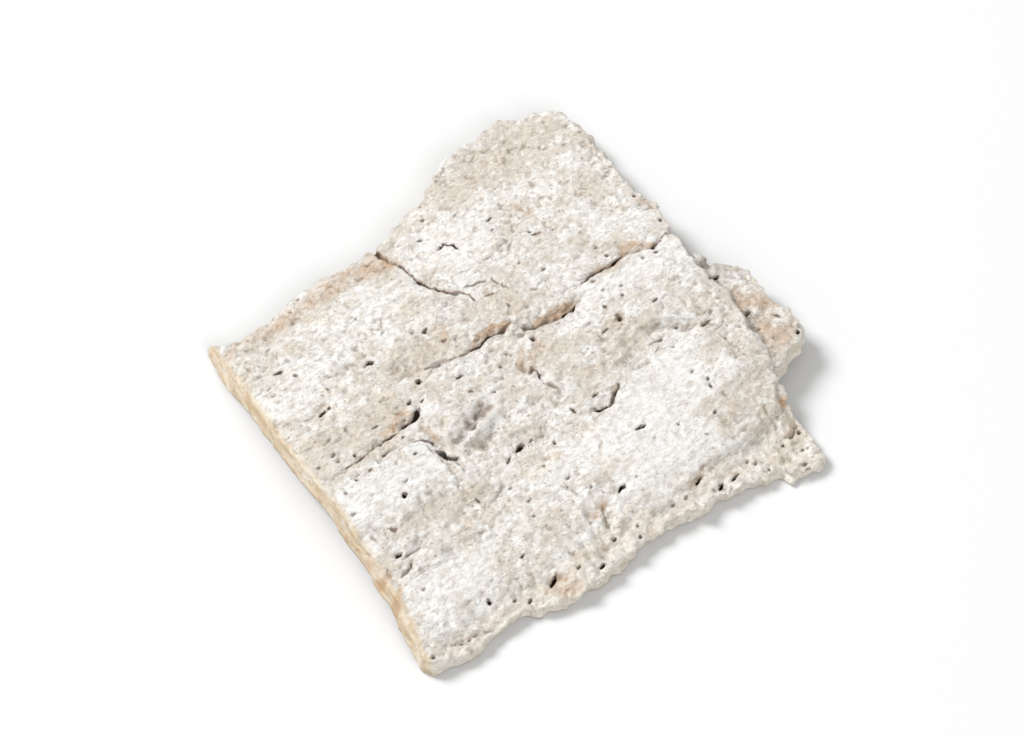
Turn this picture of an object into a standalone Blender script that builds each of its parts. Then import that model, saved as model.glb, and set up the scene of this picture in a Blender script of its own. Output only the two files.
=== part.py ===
"""One piece of tree bark: a thin, slightly arched plate, lying outer side up.

X runs along the grain, Y across it and +Z up out of the bark's outer side. The plate was snapped off
across the grain at both ends, so it is about as long as it is wide. It is thin for its size, arched
across the grain like the trunk it grew on, and rests on worn flats along its two long sides.
Shapes are written in millimetres and scaled to metres at the end.
"""

import bpy
import bmesh
import numpy as np

# ---------------------------------------------------------------- driving dimensions, in millimetres
MM = 0.001
THICKNESS = 4.6          # bark thickness away from the edges
RIM_THINNING = 1.3       # how much thinner the weathered lower rim is
ARCH_RISE = 3.8          # height of the inner side above the resting plane, at the crown
ARCH_CROWN_Y = 3.0       # where across the grain the crown runs
ARCH_LOWER_SPAN = 36.0   # from the crown down to where the inner side meets the resting plane
ARCH_UPPER_SPAN = 38.5   # the same on the upper side, at the middle of the piece's length
ARCH_FLARE = 0.15        # how much the upper span widens for each millimetre along the grain
WARP = 0.3               # slow unevenness of the inner side
GRAIN_RIDGE = 0.16       # height of the inner side's ridges along the grain
LEDGE_DROP = 1.6         # how far the broken-back ledge at the right end lies below the outer side
END_SLOPE = 1.0          # how far the snapped end leans back from its foot to its top
FOOT_SNAP = 0.15         # inner surface closer than this to the resting plane is worn flat

VOXEL = 0.8              # size of the even mesh that the relief is worked into
TRIANGLE_SHARE = 0.14    # share of that mesh's triangles that the finished piece keeps
WELD = 0.00001           # merge distance in metres
CREASE_ANGLE = 0.7       # edges sharper than this, in radians, are shaded sharp

# The plate's outline, from the upper left corner anticlockwise
SNAPPED_END = [(-36.6, 39.9), (-37.9, 29.8), (-39.3, 18.5), (-40.1, 7.5), (-40.5, -3.3), (-41.0, -13.7),
               (-41.6, -21.4), (-42.8, -28.1), (-43.6, -31.9)]
LOWER_RIM = [(-42.5, -33.7), (-38.7, -34.6), (-34.2, -34.7), (-31.1, -33.5), (-24.3, -33.1),
             (-22.1, -34.2), (-19.3, -35.8), (-15.3, -36.5), (-9.0, -36.0), (-1.8, -34.7), (4.5, -34.2),
             (10.8, -34.9), (17.1, -36.0), (22.5, -36.9), (25.5, -37.4), (26.1, -39.4), (28.4, -40.5),
             (31.5, -40.5), (33.3, -39.6)]
BROKEN_END = [(33.9, -36.0), (34.3, -32.3), (35.1, -26.6), (36.5, -21.8), (39.5, -20.9), (44.0, -19.8),
              (45.8, -17.4), (45.1, -13.3), (44.3, -10.6), (45.6, -7.0), (45.8, -3.7), (44.1, -0.8),
              (40.8, 0.6), (38.3, 3.2), (38.1, 8.4), (39.1, 11.7), (40.6, 15.4), (40.9, 22.8),
              (41.3, 31.4), (42.1, 39.0), (41.0, 44.3)]
UPPER_SIDE = [(37.2, 46.7), (30.9, 48.4), (23.7, 48.0), (17.4, 46.5), (12.8, 43.8), (8.2, 41.9),
              (3.6, 40.3), (0.0, 39.3), (-2.7, 38.1), (-7.2, 38.4), (-12.6, 38.3), (-17.1, 38.6),
              (-23.4, 37.6), (-29.7, 37.2), (-34.2, 38.5)]

# Outer plates that stand above, or lie below, the surface round them: rise, width of the step, outline
PLATES = [
    (0.7, 0.9, [(-44.0, -1.1), (-22.0, -1.1), (-20.0, -3.2), (-19.4, -8.4), (-25.3, -10.0),
                (-44.0, -9.4)]),
    (0.8, 1.0, [(0.0, -22.0), (1.2, -29.5), (4.0, -31.8), (9.0, -30.8), (16.0, -29.8), (21.0, -30.4),
                (28.0, -31.0), (32.6, -30.0), (34.8, -24.5), (36.6, -16.0), (33.0, -10.5), (13.0, -10.0),
                (8.0, -12.8), (2.0, -15.0)]),
    (0.7, 1.2, [(7.1, 6.4), (16.6, 6.9), (17.8, 8.5), (26.6, 9.5), (29.3, 8.7), (38.4, 8.5),
                (38.4, -0.5), (24.0, -2.5), (8.0, -1.5), (-4.4, 1.5), (-17.4, 3.5), (-17.4, 9.7),
                (-7.6, 9.0), (-0.4, 9.5), (6.4, 9.3)]),
    (0.5, 3.0, [(-38.0, 18.2), (-3.0, 18.0), (-1.6, 24.2), (-3.0, 33.5), (-37.5, 33.3)]),
    (-LEDGE_DROP, 0.7, [(36.9, -21.0), (48.0, -24.0), (48.0, 1.6), (38.0, 0.6), (37.2, -7.0),
                        (37.6, -13.0)]),
]

# Fissures: depth, half width on the lower side, half width on the upper side, centre line
FISSURES = [
    (1.9, 0.5, 1.5, [(-16.6, 10.7), (-12.1, 11.0), (-7.6, 9.4), (-3.1, 9.2), (-0.4, 9.9), (3.2, 10.1),
                     (6.4, 9.8)]),
    (2.2, 0.5, 1.9, [(6.8, 6.9), (10.4, 6.1), (14.0, 6.0), (16.7, 7.0)]),
    (1.9, 0.5, 1.3, [(17.6, 8.5), (22.1, 9.2), (26.6, 9.9), (29.3, 9.0), (33.8, 8.7), (39.5, 9.0)]),
    (1.9, 0.5, 1.4, [(-18.4, 5.1), (-22.0, 3.8), (-25.6, 3.1), (-31.0, 2.5), (-38.2, 1.8),
                     (-42.0, 1.3)]),
    (1.5, 0.5, 0.5, [(-2.6, 39.5), (-2.5, 33.0), (-2.1, 28.2), (-0.8, 24.4), (0.0, 22.7), (2.7, 21.3),
                     (5.8, 20.0), (8.5, 18.3)]),
    (1.9, 0.6, 0.6, [(-22.0, 0.2), (-20.4, -0.5), (-19.5, -2.3), (-19.6, -4.4), (-18.6, -6.2),
                     (-18.3, -8.3)]),
    (1.6, 0.5, 0.6, [(12.0, -10.1), (10.3, -11.6), (8.1, -12.4), (6.8, -12.4)]),
]

# The largest pits: x, y, radius, depth
PITS = [(-17.5, -32.0, 1.1, 1.3), (19.8, 0.0, 0.9, 1.3), (-18.8, 17.6, 0.8, 1.2),
        (-13.9, 9.4, 0.8, 1.2), (-28.6, -7.3, 0.8, 1.2), (-8.1, -9.9, 0.9, 1.2),
        (9.9, -19.0, 0.9, 1.1), (0.3, -26.2, 0.9, 1.1), (-29.7, 14.2, 0.9, 1.0),
        (12.7, -31.3, 1.0, 1.1), (-9.5, -34.0, 0.8, 1.0)]

BARK_COLOUR = (0.66, 0.61, 0.54, 1.0)
BARK_ROUGHNESS = 0.9


# ---------------------------------------------------------------- shape functions, all in millimetres
def ease(t):
    """Goes smoothly from 0 at t = 0 to 1 at t = 1."""
    t = np.clip(t, 0.0, 1.0)
    return t * t * (3.0 - 2.0 * t)


def slow_noise(x, y, cell, seed):
    """Smooth random values from -1 to 1, the same for the same seed, on a lattice of this cell size."""
    size = 64
    table = np.random.default_rng(seed).uniform(-1.0, 1.0, (size, size))
    u, v = x / cell + size / 2, y / cell + size / 2
    i, j = np.floor(u).astype(int), np.floor(v).astype(int)
    a, b = ease(u - i), ease(v - j)
    near = table[i % size, j % size] * (1 - a) + table[(i + 1) % size, j % size] * a
    far = table[i % size, (j + 1) % size] * (1 - a) + table[(i + 1) % size, (j + 1) % size] * a
    return near * (1 - b) + far * b


def path_distance(x, y, path, closed=False):
    """Distance to a path of straight runs, and the offset in Y from the path's nearest point."""
    ends = path + path[:1] if closed else path
    best = np.full(x.shape, np.inf)
    above = np.zeros(x.shape)
    for (ax, ay), (bx, by) in zip(ends[:-1], ends[1:]):
        dx, dy = bx - ax, by - ay
        t = np.clip(((x - ax) * dx + (y - ay) * dy) / (dx * dx + dy * dy), 0.0, 1.0)
        off_x, off_y = x - ax - t * dx, y - ay - t * dy
        d = np.hypot(off_x, off_y)
        above = np.where(d < best, off_y, above)
        best = np.minimum(best, d)
    return best, above


def inside_outline(x, y, outline):
    """True for points inside a closed outline, by counting the edges to their right."""
    inside = np.zeros(x.shape, bool)
    for (ax, ay), (bx, by) in zip(outline, outline[1:] + outline[:1]):
        if ay != by:
            crosses = (ay > y) != (by > y)
            inside ^= crosses & (x < ax + (y - ay) * (bx - ax) / (by - ay))
    return inside


def signed_depth(x, y, outline):
    """Distance to a closed outline, positive inside it."""
    distance, _ = path_distance(x, y, outline, closed=True)
    return np.where(inside_outline(x, y, outline), distance, -distance)


def arch(x, y):
    """The arch that the whole plate follows, zero where the inner side meets the resting plane."""
    upper_span = ARCH_UPPER_SPAN + ARCH_FLARE * x
    span = np.where(y < ARCH_CROWN_Y, ARCH_LOWER_SPAN, upper_span)
    return ARCH_RISE * (1.0 - ((y - ARCH_CROWN_Y) / span) ** 2)


def inner_side(x, y):
    """Height of the bark's inner side: the arch, slightly warped, worn flat where it rests."""
    ridges = GRAIN_RIDGE * slow_noise(0.15 * x, y, 2.4, seed=6)
    height = arch(x, y) + WARP * slow_noise(x, y, 17.0, seed=1) + ridges
    return np.where(height < FOOT_SNAP, 0.0, height)


def plate_relief(x, y):
    """The steps between the outer plates."""
    relief = np.zeros(x.shape)
    for rise, step, outline in PLATES:
        relief += rise * ease(signed_depth(x, y, outline) / step + 0.5)
    return relief


def fissure_relief(x, y):
    """The fissures: steep on their lower side, a slope on their upper side."""
    relief = np.zeros(x.shape)
    for depth, lower, upper, path in FISSURES:
        distance, above = path_distance(x, y, path)
        width = np.where(above > 0, upper, lower)
        relief = np.minimum(relief, -depth * np.exp(-((distance / width) ** 2)))
    return relief


def pit_relief(x, y):
    """The largest pits, round-bottomed."""
    relief = np.zeros(x.shape)
    for px, py, radius, depth in PITS:
        reach = np.hypot(x - px, y - py) / radius
        relief = np.minimum(relief, -depth * (1.0 - ease(reach * 0.7)))
    return relief


def outer_side(x, y, edge):
    """Height of the bark's outer side, from the distance to the plate's edge as well."""
    lower_rim = ease((-y - 26.0) / 9.0)
    thickness = THICKNESS - RIM_THINNING * lower_rim
    rounding = 0.9 * (1.0 - ease(edge / 1.8)) + 0.6 * (1.0 - ease(edge / 6.0))
    lumps = 0.45 * slow_noise(x, y, 11.0, seed=2) + 0.22 * slow_noise(x, y, 4.5, seed=3)
    relief = plate_relief(x, y) + fissure_relief(x, y) + pit_relief(x, y)
    return np.maximum(arch(x, y), 0.0) + thickness - rounding + lumps + relief


# ---------------------------------------------------------------- building
def clear_scene():
    for thing in list(bpy.data.objects):
        bpy.data.objects.remove(thing, do_unlink=True)


def collection_for(name):
    group = bpy.data.collections.new(name)
    bpy.context.scene.collection.children.link(group)
    return group


def bark_material():
    material = bpy.data.materials.new("weathered_bark")
    material.use_nodes = True
    shader = material.node_tree.nodes["Principled BSDF"]
    shader.inputs["Base Color"].default_value = BARK_COLOUR
    shader.inputs["Roughness"].default_value = BARK_ROUGHNESS
    shader.inputs["Metallic"].default_value = 0.0
    return material


def plate_outline():
    return SNAPPED_END + LOWER_RIM + BROKEN_END + UPPER_SIDE


def evaluated_mesh(thing):
    """A mesh of the object with its modifiers applied."""
    bpy.context.view_layer.update()
    graph = bpy.context.evaluated_depsgraph_get()
    return bpy.data.meshes.new_from_object(thing.evaluated_get(graph))


def flat_slab(group):
    """The outline as a flat slab of even thickness, centred on Z = 0."""
    curve = bpy.data.curves.new("bark_outline", "CURVE")
    curve.dimensions = "2D"
    curve.fill_mode = "BOTH"
    curve.extrude = THICKNESS / 2 * MM
    spline = curve.splines.new("POLY")
    points = plate_outline()
    spline.points.add(len(points) - 1)
    for point, (x, y) in zip(spline.points, points):
        point.co = (x * MM, y * MM, 0.0, 1.0)
    spline.use_cyclic_u = True
    outline = bpy.data.objects.new("bark_outline", curve)
    group.objects.link(outline)
    slab = bpy.data.objects.new("bark", evaluated_mesh(outline))
    group.objects.link(slab)
    bpy.data.objects.remove(outline, do_unlink=True)
    shell = bmesh.new()
    shell.from_mesh(slab.data)
    bmesh.ops.remove_doubles(shell, verts=shell.verts, dist=WELD)
    bmesh.ops.recalc_face_normals(shell, faces=shell.faces)
    shell.to_mesh(slab.data)
    shell.free()
    return slab


def replace_mesh(thing, mesh):
    old = thing.data
    thing.modifiers.clear()
    thing.data = mesh
    bpy.data.meshes.remove(old)


def even_mesh(slab):
    """Gives the slab an even mesh of small faces."""
    remesh = slab.modifiers.new("even_mesh", "REMESH")
    remesh.mode = "VOXEL"
    remesh.voxel_size = VOXEL * MM
    replace_mesh(slab, evaluated_mesh(slab))


def vertices_of(thing):
    flat = np.empty(len(thing.data.vertices) * 3)
    thing.data.vertices.foreach_get("co", flat)
    return flat.reshape(-1, 3) / MM


def set_vertices(thing, points):
    thing.data.vertices.foreach_set("co", (points * MM).ravel())
    thing.data.update()


def work_relief(slab):
    """Moves the slab's two sides to the bark's inner and outer sides, and roughens its broken edge."""
    points = vertices_of(slab)
    x, y = points[:, 0].copy(), points[:, 1].copy()
    level = np.clip(points[:, 2] / THICKNESS + 0.5, 0.0, 1.0)
    edge = np.maximum(signed_depth(x, y, plate_outline()), 0.0)
    bottom = inner_side(x, y)
    top = np.maximum(outer_side(x, y, edge), bottom + 0.9)
    near_edge = 1.0 - ease(edge / 3.0)
    height = level * THICKNESS
    points[:, 0] += near_edge * 0.5 * slow_noise(x + height, y - height, 2.6, seed=4)
    points[:, 1] += near_edge * 0.5 * slow_noise(x - height, y + height, 2.6, seed=5)
    at_snapped_end = 1.0 - ease((x - SNAPPED_END[0][0]) / 4.0)
    points[:, 0] += at_snapped_end * level * END_SLOPE
    points[:, 2] = bottom + level * (top - bottom)
    set_vertices(slab, points)


def thin_out(slab):
    """Drops the triangles that the shape can do without."""
    fewer = slab.modifiers.new("fewer_triangles", "DECIMATE")
    fewer.ratio = TRIANGLE_SHARE
    fewer.use_collapse_triangulate = True
    replace_mesh(slab, evaluated_mesh(slab))


def rest_on_origin(slab):
    """Flattens the worn feet and puts the origin at the middle of the piece's box, on its base."""
    points = vertices_of(slab)
    points[:, 2] = np.where(points[:, 2] < FOOT_SNAP, 0.0, points[:, 2])
    points[:, :2] -= (points[:, :2].min(0) + points[:, :2].max(0)) / 2
    set_vertices(slab, points)


def make_bark(group):
    slab = flat_slab(group)
    even_mesh(slab)
    work_relief(slab)
    thin_out(slab)
    rest_on_origin(slab)
    slab.data.materials.append(bark_material())
    slab.data.shade_smooth()
    slab.data.set_sharp_from_angle(angle=CREASE_ANGLE)
    return slab


clear_scene()
make_bark(collection_for("piece_of_bark"))
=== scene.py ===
"""Looks of the piece of bark: a plate of weathered pale bark on a pale floor, in soft studio light.

The bark is worked out as a solid on a grid of points (negative inside, positive outside), with its
outer plates, flakes, fissures, pits, crumbled rim and layered broken edge, and made into one mesh.
It stands for the CAD node "bark", lies where that node lies, and repeats the CAD part's outline,
arch, plates and fissures in the same millimetres.
"""

import math
from itertools import product

import bpy
import numpy as np
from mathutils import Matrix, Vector


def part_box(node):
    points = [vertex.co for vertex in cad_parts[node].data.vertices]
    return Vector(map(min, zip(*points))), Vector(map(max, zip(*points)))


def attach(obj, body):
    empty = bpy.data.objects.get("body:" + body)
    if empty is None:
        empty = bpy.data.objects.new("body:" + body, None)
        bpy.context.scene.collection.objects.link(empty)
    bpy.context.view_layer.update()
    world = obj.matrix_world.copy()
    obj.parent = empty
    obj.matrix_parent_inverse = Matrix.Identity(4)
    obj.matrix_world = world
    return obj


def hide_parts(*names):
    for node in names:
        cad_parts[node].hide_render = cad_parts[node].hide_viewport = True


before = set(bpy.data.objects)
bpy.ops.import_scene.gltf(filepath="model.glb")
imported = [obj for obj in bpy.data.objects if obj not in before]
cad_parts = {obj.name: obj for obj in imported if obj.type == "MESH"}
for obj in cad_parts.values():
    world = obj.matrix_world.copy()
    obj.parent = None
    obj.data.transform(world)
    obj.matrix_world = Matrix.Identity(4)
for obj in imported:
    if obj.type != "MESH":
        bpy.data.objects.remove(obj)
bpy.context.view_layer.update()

# ---- the bark's shape, in millimetres
MM = 0.001
STEP = 0.25  # spacing of the grid
MARGIN = 1.6  # air round the outline on the grid
HEIGHT_RANGE = (-1.0, 11.0)

THICKNESS = 4.6
THINNEST = 0.9
RIM_THINNING = 1.1  # lost towards the lower rim, from RIM_TOP_Y down over RIM_SPAN
RIM_TOP_Y = -26.0
RIM_SPAN = 9.0
EDGE_WEAR = 0.5  # lost at the outline, and less and less over WEAR_WIDTH
WEAR_WIDTH = 6.0
ARCH_RISE = 3.8
ARCH_CROWN_Y = 3.0
ARCH_LOWER_SPAN = 36.0
ARCH_UPPER_SPAN = 38.5
ARCH_FLARE = 0.15
END_SLOPE = 1.25  # how far inwards the top of the snapped end's wall leans
END_ZONE_X = -36.0  # up to here the edge is the snapped end's, crisp and almost straight
END_FADE = 5.0  # the lengths over which it turns crumbled, and loses its lean
LEAN_FADE = 4.0
LEAN_HEIGHTS = (1.5, 6.5)
SNAPPED_WIDTH = 1.2  # how near the end's line a face counts as freshly snapped, and the fade
SNAPPED_FADE = 1.6
FOOT_SNAP = 0.15  # the inner side is worn flat where it comes this near the floor
TOP_ROUNDING = 0.3  # radii along the outer and inner edges and the lips of slots and pits
FOOT_ROUNDING = 0.35
SLOT_ROUNDING = 0.12
PIT_ROUNDING = 0.08

SNAPPED_END = [
    (-36.6, 39.9), (-37.9, 29.8), (-39.3, 18.5), (-40.1, 7.5), (-40.5, -3.3), (-41.0, -13.7),
    (-41.6, -21.4), (-42.8, -28.1), (-43.6, -31.9)]
LOWER_RIM = [
    (-42.5, -33.7), (-38.7, -34.6), (-34.2, -34.7), (-31.1, -33.5), (-24.3, -33.1), (-22.1, -34.2),
    (-19.3, -35.8), (-15.3, -36.5), (-9.0, -36.0), (-1.8, -34.7), (4.5, -34.2), (10.8, -34.9),
    (17.1, -36.0), (22.5, -36.9), (25.5, -37.4), (26.1, -39.4), (28.4, -40.5), (31.5, -40.5),
    (33.3, -39.6)]
BROKEN_END = [
    (33.9, -36.0), (34.3, -32.3), (35.1, -26.6), (36.5, -21.8), (39.5, -20.9), (44.0, -19.8),
    (45.8, -17.4), (45.1, -13.3), (44.3, -10.6), (45.6, -7.0), (45.8, -3.7), (44.1, -0.8),
    (40.8, 0.6), (38.3, 3.2), (38.1, 8.4), (39.1, 11.7), (40.6, 15.4), (40.9, 22.8), (41.3, 31.4),
    (42.1, 39.0), (41.0, 44.3)]
UPPER_SIDE = [
    (37.2, 46.7), (30.9, 48.4), (23.7, 48.0), (17.4, 46.5), (12.8, 43.8), (8.2, 41.9), (3.6, 40.3),
    (0.0, 39.3), (-2.7, 38.1), (-7.2, 38.4), (-12.6, 38.3), (-17.1, 38.6), (-23.4, 37.6),
    (-29.7, 37.2), (-34.2, 38.5)]
OUTLINE = SNAPPED_END + LOWER_RIM + BROKEN_END + UPPER_SIDE

# Plates above or below the surface round them: rise, width of the step, the values of Y between
# which the plate grows out of that surface, outline
NO_FADE = (-99.0, -98.0)
LEFT_BUMP = (0.65, 0.5, (-12.5, -7.0), [
    (-44.0, -0.3), (-30.0, -0.1), (-22.2, -0.3), (-20.2, -2.4), (-19.6, -7.2), (-20.6, -14.0),
    (-44.0, -14.0)])
SMOOTH_PLATE = (0.6, 0.6, NO_FADE, [
    (0.6, -22.0), (1.0, -28.0), (2.2, -30.4), (5.0, -31.9), (8.0, -31.4), (12.0, -30.7),
    (17.0, -29.9), (24.0, -29.9), (32.0, -29.2), (35.0, -24.0), (37.4, -16.0), (37.6, -9.0),
    (33.6, -8.2), (30.0, -9.9), (20.0, -10.2), (12.4, -10.3), (10.0, -12.4), (7.0, -13.3),
    (3.0, -15.0)])
MIDDLE_PLATE = (0.75, 0.6, (-9.0, 5.0), [
    (7.3, 6.0), (12.5, 5.9), (14.6, 5.3), (17.2, 6.2), (18.0, 8.4), (26.4, 9.3), (30.2, 8.6),
    (33.6, 8.1), (38.4, 9.0), (38.4, -14.0), (-17.8, -14.0), (-17.8, 4.6), (-14.4, 8.6),
    (-7.2, 8.8), (-0.8, 9.0), (6.4, 9.6)])
UPPER_PLATE = (0.5, 3.0, NO_FADE, [
    (-38.0, 18.2), (-3.0, 18.0), (-1.6, 24.2), (-3.0, 33.5), (-37.5, 31.0)])
LEDGE = (-1.6, 1.3, (-27.0, -10.0), [
    (37.4, -21.0), (48.0, -24.0), (48.0, 1.6), (38.2, 0.6), (37.6, -7.0), (37.8, -13.0)])
RIM_BREAK = (-0.22, 1.2, NO_FADE, [
    (-46.0, -31.2), (-38.0, -31.4), (-31.0, -30.8), (-25.0, -30.0), (-20.0, -30.6), (-14.0, -31.0),
    (-8.5, -30.2), (-4.6, -28.4), (-2.2, -28.9), (1.2, -30.4), (4.6, -32.3), (8.0, -31.8),
    (12.0, -31.1), (17.0, -30.3), (24.0, -30.4), (33.0, -30.0), (40.0, -28.0), (38.0, -46.0),
    (-46.0, -46.0)])
PLATES = [LEFT_BUMP, SMOOTH_PLATE, MIDDLE_PLATE, UPPER_PLATE, LEDGE, RIM_BREAK]

# Fissures: slot depth, slot half width, depth of the slope on their left, its width, centre line
FISSURES = [
    (1.9, 0.46, 0.8, 1.7, [(-3.6, 9.1), (-0.8, 9.3), (1.0, 9.6), (2.6, 9.7)]),
    (0.9, 0.25, 0.45, 1.7, [(-15.6, 11.1), (-12.5, 11.3), (-10.0, 10.9), (-8.2, 10.2), (-7.0, 9.2),
        (-4.6, 9.0), (-2.0, 9.2)]),
    (2.0, 0.5, 1.1, 2.2, [(7.0, 6.3), (10.2, 6.5), (12.4, 6.2), (14.6, 5.7), (17.3, 6.7)]),
    (1.0, 0.28, 0.2, 0.8, [(6.3, 7.6), (9.4, 7.0)]),
    (1.3, 0.28, 0.4, 1.3, [(17.6, 8.5), (20.8, 8.9), (24.2, 9.4), (26.8, 9.6)]),
    (2.1, 0.42, 0.5, 1.4, [(25.8, 9.6), (28.0, 9.7), (30.8, 8.8)]),
    (1.5, 0.31, 0.5, 1.4, [(30.0, 8.9), (33.5, 8.4), (35.6, 8.6), (39.6, 9.7)]),
    (2.5, 0.48, 0.7, 1.6, [(-22.4, 3.3), (-20.4, 3.9), (-19.0, 4.3), (-17.3, 5.1)]),
    (1.3, 0.3, 0.5, 1.5, [(-36.0, 2.0), (-29.5, 2.3), (-27.4, 2.6), (-25.4, 3.1), (-23.4, 3.0),
        (-21.4, 3.6)]),
    (1.2, 0.27, 0.3, 0.8, [(-2.4, 40.0), (-2.7, 35.2), (-2.5, 33.4)]),
    (1.5, 0.3, 0.3, 0.7, [(-2.6, 34.6), (-2.0, 31.6), (-1.7, 28.2), (-1.1, 25.6), (0.0, 23.0),
        (1.6, 21.6), (3.4, 20.7)]),
    (1.6, 0.34, 0.2, 0.6, [(3.1, 21.0), (3.2, 19.2), (3.2, 17.2)]),
    (1.0, 0.27, 0.0, 0.6, [(3.4, 20.8), (5.8, 20.3), (8.2, 19.6)]),
    (1.5, 0.34, 0.1, 0.5, [(8.3, 19.3), (8.4, 17.4), (9.4, 14.8)]),
    (1.5, 0.34, 0.1, 0.5, [(5.2, 16.9), (6.8, 15.6)]),
    (1.5, 0.27, 0.2, 0.6, [(-19.8, -2.4), (-20.2, -1.6), (-21.0, -0.6), (-22.4, 0.1)]),
    (3.0, 0.64, 0.1, 0.5, [(-17.5, -6.9), (-18.5, -6.2), (-19.1, -5.2), (-19.2, -3.0)]),
    (0.9, 0.22, 0.1, 0.5, [(-18.4, -6.8), (-18.3, -8.0), (-18.0, -10.2)]),
    (2.0, 0.34, 0.2, 0.7, [(6.2, -11.8), (6.8, -12.6), (8.4, -12.9)]),
    (1.2, 0.21, 0.2, 0.8, [(7.4, -12.9), (9.8, -12.4), (11.4, -11.4)]),
    (1.4, 0.24, 0.2, 0.8, [(10.2, -12.2), (11.6, -11.0), (12.3, -9.8)]),
    (2.0, 0.38, 0.2, 0.6, [(37.2, -2.9), (38.0, -2.2), (40.6, -1.9)]),
    (1.4, 0.26, 0.2, 0.6, [(1.2, -0.7), (2.2, -0.6), (2.8, -1.2), (2.4, -3.0)]),
    (1.0, 0.28, 0.2, 0.6, [(3.0, -3.0), (3.3, -4.4), (3.9, -6.6)]),
    (2.0, 0.42, 0.3, 0.8, [(29.6, -10.2), (30.8, -9.9), (32.2, -9.2)]),
    (1.1, 0.28, 0.2, 0.7, [(32.0, -9.3), (33.8, -7.4)]),
    (1.0, 0.26, 0.2, 0.6, [(20.6, -7.7), (22.0, -7.5), (23.9, -7.7)]),
    (0.8, 0.22, 0.05, 0.6, [(-38.2, -18.5), (-36.5, -18.1), (-34.6, -17.6)]),
    (0.75, 0.2, 0.05, 0.5, [(-35.4, -16.5), (-33.4, -16.0), (-31.2, -15.5)]),
    (0.9, 0.34, 0.3, 0.9, [(-3.2, -26.4), (-3.9, -27.4), (-4.3, -28.8)]),
    (1.7, 0.34, 0.2, 0.6, [(5.8, 30.6), (7.2, 30.9), (7.7, 30.2), (7.9, 28.2)]),
    (0.9, 0.25, 0.2, 0.7, [(-41.0, -32.2), (-36.5, -32.0), (-32.8, -32.0), (-29.6, -33.2)]),
    (0.8, 0.22, 0.1, 0.5, [(29.6, -33.4), (31.4, -32.8), (32.4, -32.0), (33.8, -31.2)]),
    (1.2, 0.3, 0.2, 0.6, [(26.0, -39.6), (27.2, -40.2), (28.2, -41.4)]),
    (1.1, 0.3, 0.2, 0.6, [(38.3, 5.6), (38.4, 3.6), (38.2, 1.6)]),
    (1.1, 0.25, 0.6, 1.5, [(1.4, 9.7), (3.2, 9.8), (6.4, 9.9)]),
]

# Folds and hollows: rise, half width, centre line
FOLDS = [
    (-0.6, 2.3, [(-14.0, 13.0), (-10.0, 13.8)]),
    (-1.15, 1.0, [(-16.2, -3.8), (-12.6, -3.0), (-9.0, -1.9)]),
    (0.85, 0.9, [(-16.4, -5.6), (-12.0, -4.9), (-8.4, -4.0)]),
    (-0.45, 0.9, [(-12.4, -6.9), (-9.6, -6.3)]), (0.55, 0.8, [(4.3, -3.9), (5.1, -3.6)]),
    (0.75, 0.7, [(24.6, -4.0), (27.4, -5.6), (30.4, -8.6)]),
    (-0.55, 1.0, [(23.2, -5.6), (26.0, -7.4), (28.2, -9.4)]),
    (-0.3, 0.5, [(0.8, 0.2), (2.2, 2.0), (3.8, 3.6)]),
    (-0.45, 0.5, [(4.6, 1.0), (6.0, 2.6), (6.4, 3.8)]),
    (-0.55, 0.6, [(-18.6, 1.2), (-18.5, -1.0), (-18.4, -2.8)]),
    (-0.45, 1.4, [(-6.4, -27.6), (-2.6, -26.8)]), (-0.5, 0.9, [(19.4, -0.4), (20.2, -0.2)]),
    (-0.4, 1.2, [(-30.0, -11.0), (-22.0, -11.2)]), (-0.45, 0.8, [(-20.4, -11.0), (-19.6, -14.6)]),
    (-0.35, 1.5, [(26.2, 11.4), (27.0, 15.2)]), (0.35, 1.6, [(-36.0, -12.6), (-30.8, -12.8)]),
    (0.35, 0.9, [(-38.0, -20.0), (-30.0, -18.6), (-22.0, -17.8)]),
    (0.3, 1.0, [(-24.0, 16.4), (-16.4, 15.6)]), (-0.35, 1.0, [(22.2, -25.6), (28.2, -27.8)]),
    (0.35, 0.7, [(36.6, -9.6), (36.8, -15.0)]),
    (0.3, 0.4, [(9.6, -5.0), (14.6, -4.3), (20.0, -3.0)]),
    (0.28, 0.4, [(12.0, -7.6), (17.0, -6.2), (22.0, -4.8)]),
    (0.28, 0.45, [(-5.0, -4.8), (-0.4, -3.6), (2.6, -2.2)]),
    (0.28, 0.4, [(-8.0, -8.4), (-2.0, -7.4), (3.6, -7.0)]),
    (0.3, 0.45, [(27.0, -2.4), (31.6, 0.6), (35.6, 2.6)]),
    (0.26, 0.4, [(24.0, 0.8), (28.0, 1.6), (33.0, 4.4)]),
    (0.28, 0.4, [(-36.0, 8.0), (-29.0, 8.9), (-21.0, 9.8)]),
    (0.26, 0.4, [(-34.0, 5.6), (-27.0, 6.4), (-20.0, 7.6)]),
    (0.28, 0.45, [(-31.0, -15.4), (-22.0, -14.0), (-14.0, -13.2)]),
    (0.15, 0.45, [(8.0, 24.0), (16.0, 26.0), (26.0, 26.8)]),
]

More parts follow.
